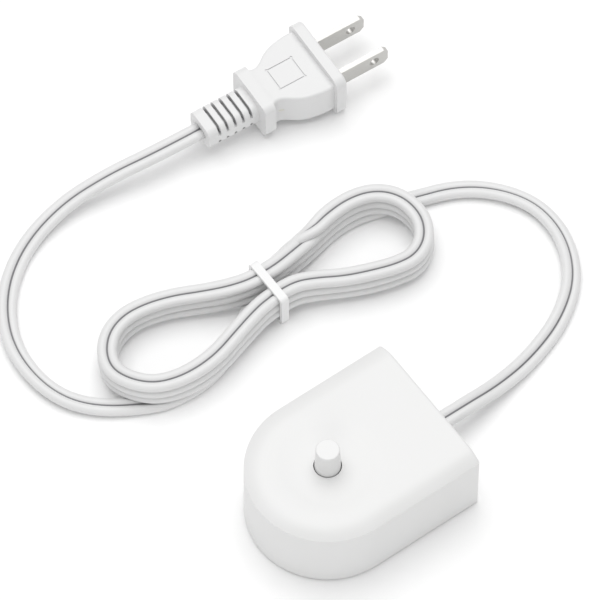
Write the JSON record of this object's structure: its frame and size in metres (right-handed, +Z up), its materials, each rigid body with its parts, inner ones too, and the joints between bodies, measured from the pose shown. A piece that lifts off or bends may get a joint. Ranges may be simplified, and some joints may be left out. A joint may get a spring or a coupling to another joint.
{
  "type": "electric toothbrush charger",
  "caption": "White inductive charging base with a round nose, flat back and short post, on a flat two-core cord tied in a hank and ending in a two-blade plug.",
  "frame": {"origin": "on the surface the base stands on, under the middle of the base's outline", "axes": "+Z up, -Y out of the round nose, +Y out of the flat back where the cord leaves, +X to the right seen from the nose"},
  "size_m": [0.1507, 0.155, 0.0323],
  "materials": {
    "white_plastic": "smooth satin moulding",
    "white_vinyl": "soft vinyl, faintly glossy",
    "white_strap": "smooth flat strip",
    "grey_rubber": "matte",
    "plated_steel": "zinc plated",
    "nickel_brass": "nickel-plated brass strip",
    "black_plastic": "moulded",
    "ferrite": "ground ferrite",
    "copper_wire": "enamelled winding",
    "fibreglass_board": "solder mask",
    "red_film": "dipped epoxy",
    "black_sleeve": "shrink sleeve",
    "clear_glass": "clear tube",
    "core_sleeve": "wire insulation"
  },
  "bodies": {
    "root": {"blade_carrier": "black_plastic", "blade_crimps": "nickel_brass", "board_screws": "plated_steel", "bottom_cover": "white_plastic", "bridge_rectifier": "black_plastic", "charging_post": "white_plastic", "chip_resistors": "black_plastic", "circuit_board": "fibreglass_board", "clamp_screws": "plated_steel", "coil_bobbin": "black_plastic", "cord_clamp": "black_plastic", "cord_grommet": "white_vinyl", "cord_hank": "white_vinyl", "cord_lead_base": "white_vinyl", "cord_lead_plug": "white_vinyl", "cord_plug_tail": "white_vinyl", "cord_tail": "white_vinyl", "cord_tie": "white_strap", "cover_screws": "plated_steel", "cover_seal": "grey_rubber", "ferrite_rod": "ferrite", "film_capacitor": "red_film", "filter_choke": "copper_wire", "input_capacitor": "black_sleeve", "input_fuse": "clear_glass", "mains_cores": "core_sleeve", "plug_blade_1": "nickel_brass", "plug_blade_2": "nickel_brass", "plug_body": "white_vinyl", "plug_cores": "core_sleeve", "post_seal": "grey_rubber", "primary_coil": "copper_wire", "rubber_feet": "grey_rubber", "switch_transistor": "black_plastic", "top_housing": "white_plastic"}
  },
  "joints": []
}
